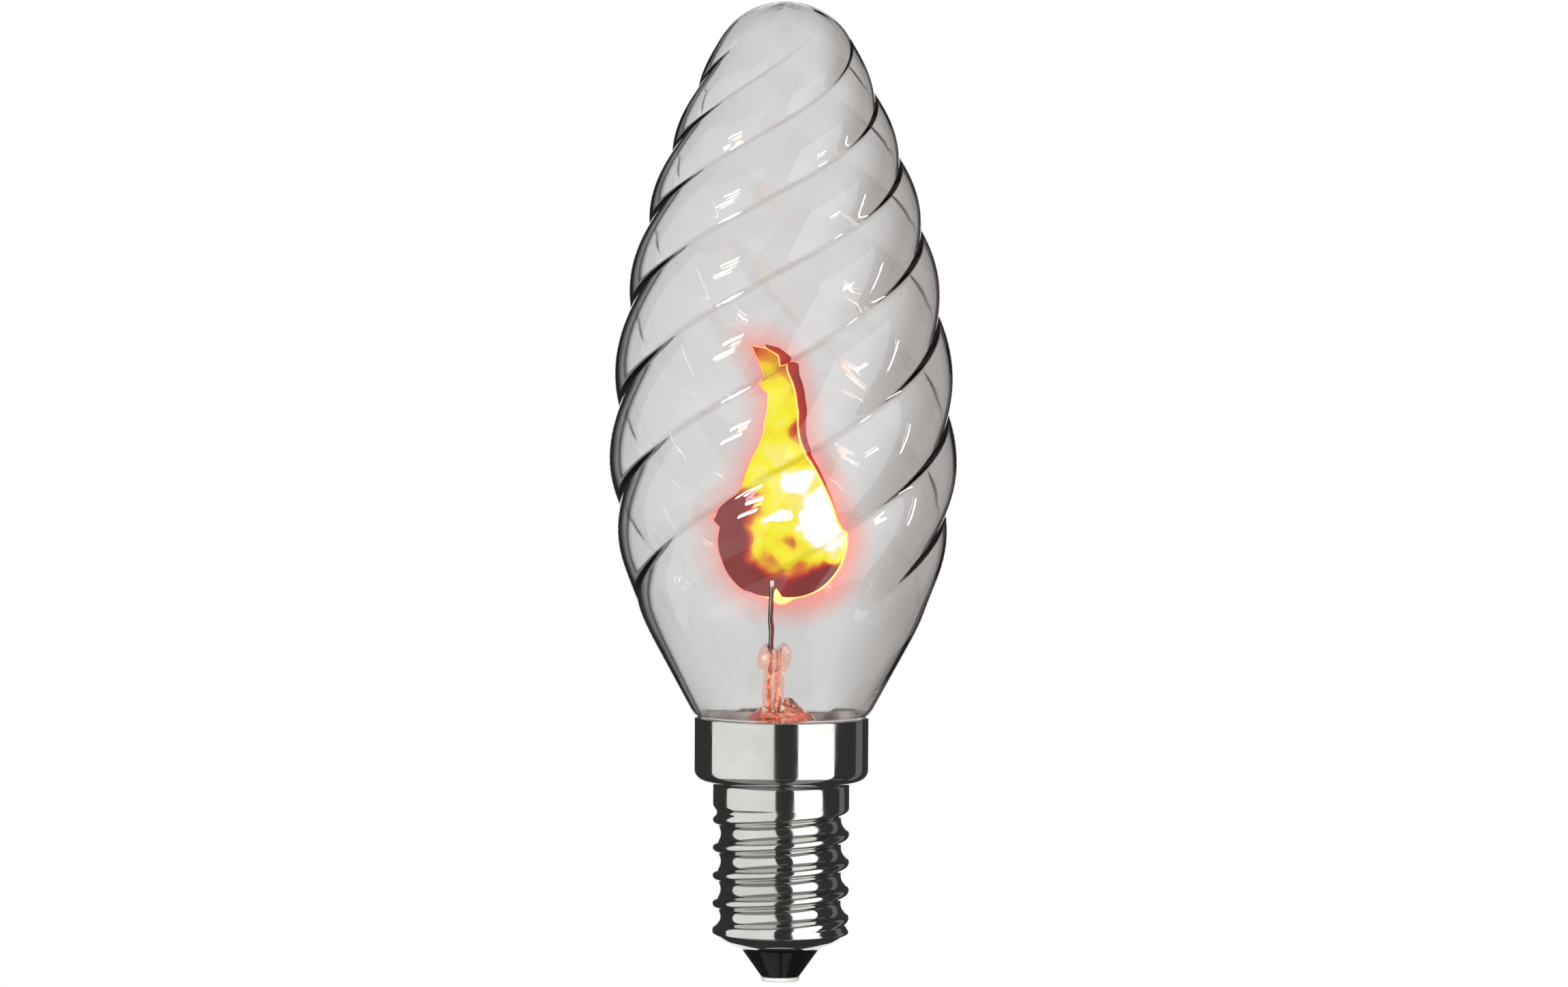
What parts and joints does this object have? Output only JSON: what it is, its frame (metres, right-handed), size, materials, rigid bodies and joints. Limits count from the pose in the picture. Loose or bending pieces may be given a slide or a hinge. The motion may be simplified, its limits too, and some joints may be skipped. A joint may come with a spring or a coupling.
{
  "type": "flicker flame candle bulb",
  "caption": "Neon flicker candle bulb: twisted clear glass around flame-shaped plates on a glass stem, with a small nickel screw cap and black insulator.",
  "frame": {"origin": "centre of the bottom face of the centre contact", "axes": "+Z along the lamp's axis from the contact to the crown; -Y towards the viewer, with the front flame plate facing it"},
  "size_m": [0.035, 0.0344, 0.0986],
  "materials": {
    "clear_glass": "blown clear glass",
    "flame_plate": "oxide coated iron plate in an orange neon glow",
    "nickel_wire": "drawn nickel wire",
    "copper_wire": "drawn copper wire",
    "resistor_ceramic": "lacquered ceramic",
    "sleeve_fabric": "woven glass fibre",
    "nickel_plate": "bright nickel plate on drawn brass",
    "black_glass": "black fused glass",
    "tin": "tinned metal and solder",
    "cement": "capping cement"
  },
  "bodies": {
    "root": {"glass_envelope": "clear_glass", "stem_glass": "clear_glass", "exhaust_tube": "clear_glass", "flame_plate_front": "flame_plate", "flame_plate_back": "flame_plate", "inner_lead_front": "nickel_wire", "inner_lead_back": "nickel_wire", "seal_wire_front": "copper_wire", "seal_wire_back": "copper_wire", "outer_lead_shell": "copper_wire", "outer_lead_contact": "copper_wire", "resistor_body": "resistor_ceramic", "resistor_end_cap_top": "tin", "resistor_end_cap_bottom": "tin", "resistor_lead_top": "copper_wire", "resistor_lead_bottom": "copper_wire", "insulating_sleeve": "sleeve_fabric", "screw_shell": "nickel_plate", "base_insulator": "black_glass", "contact_plate": "tin", "contact_solder": "tin", "shell_solder": "tin", "cap_cement": "cement"}
  },
  "joints": []
}
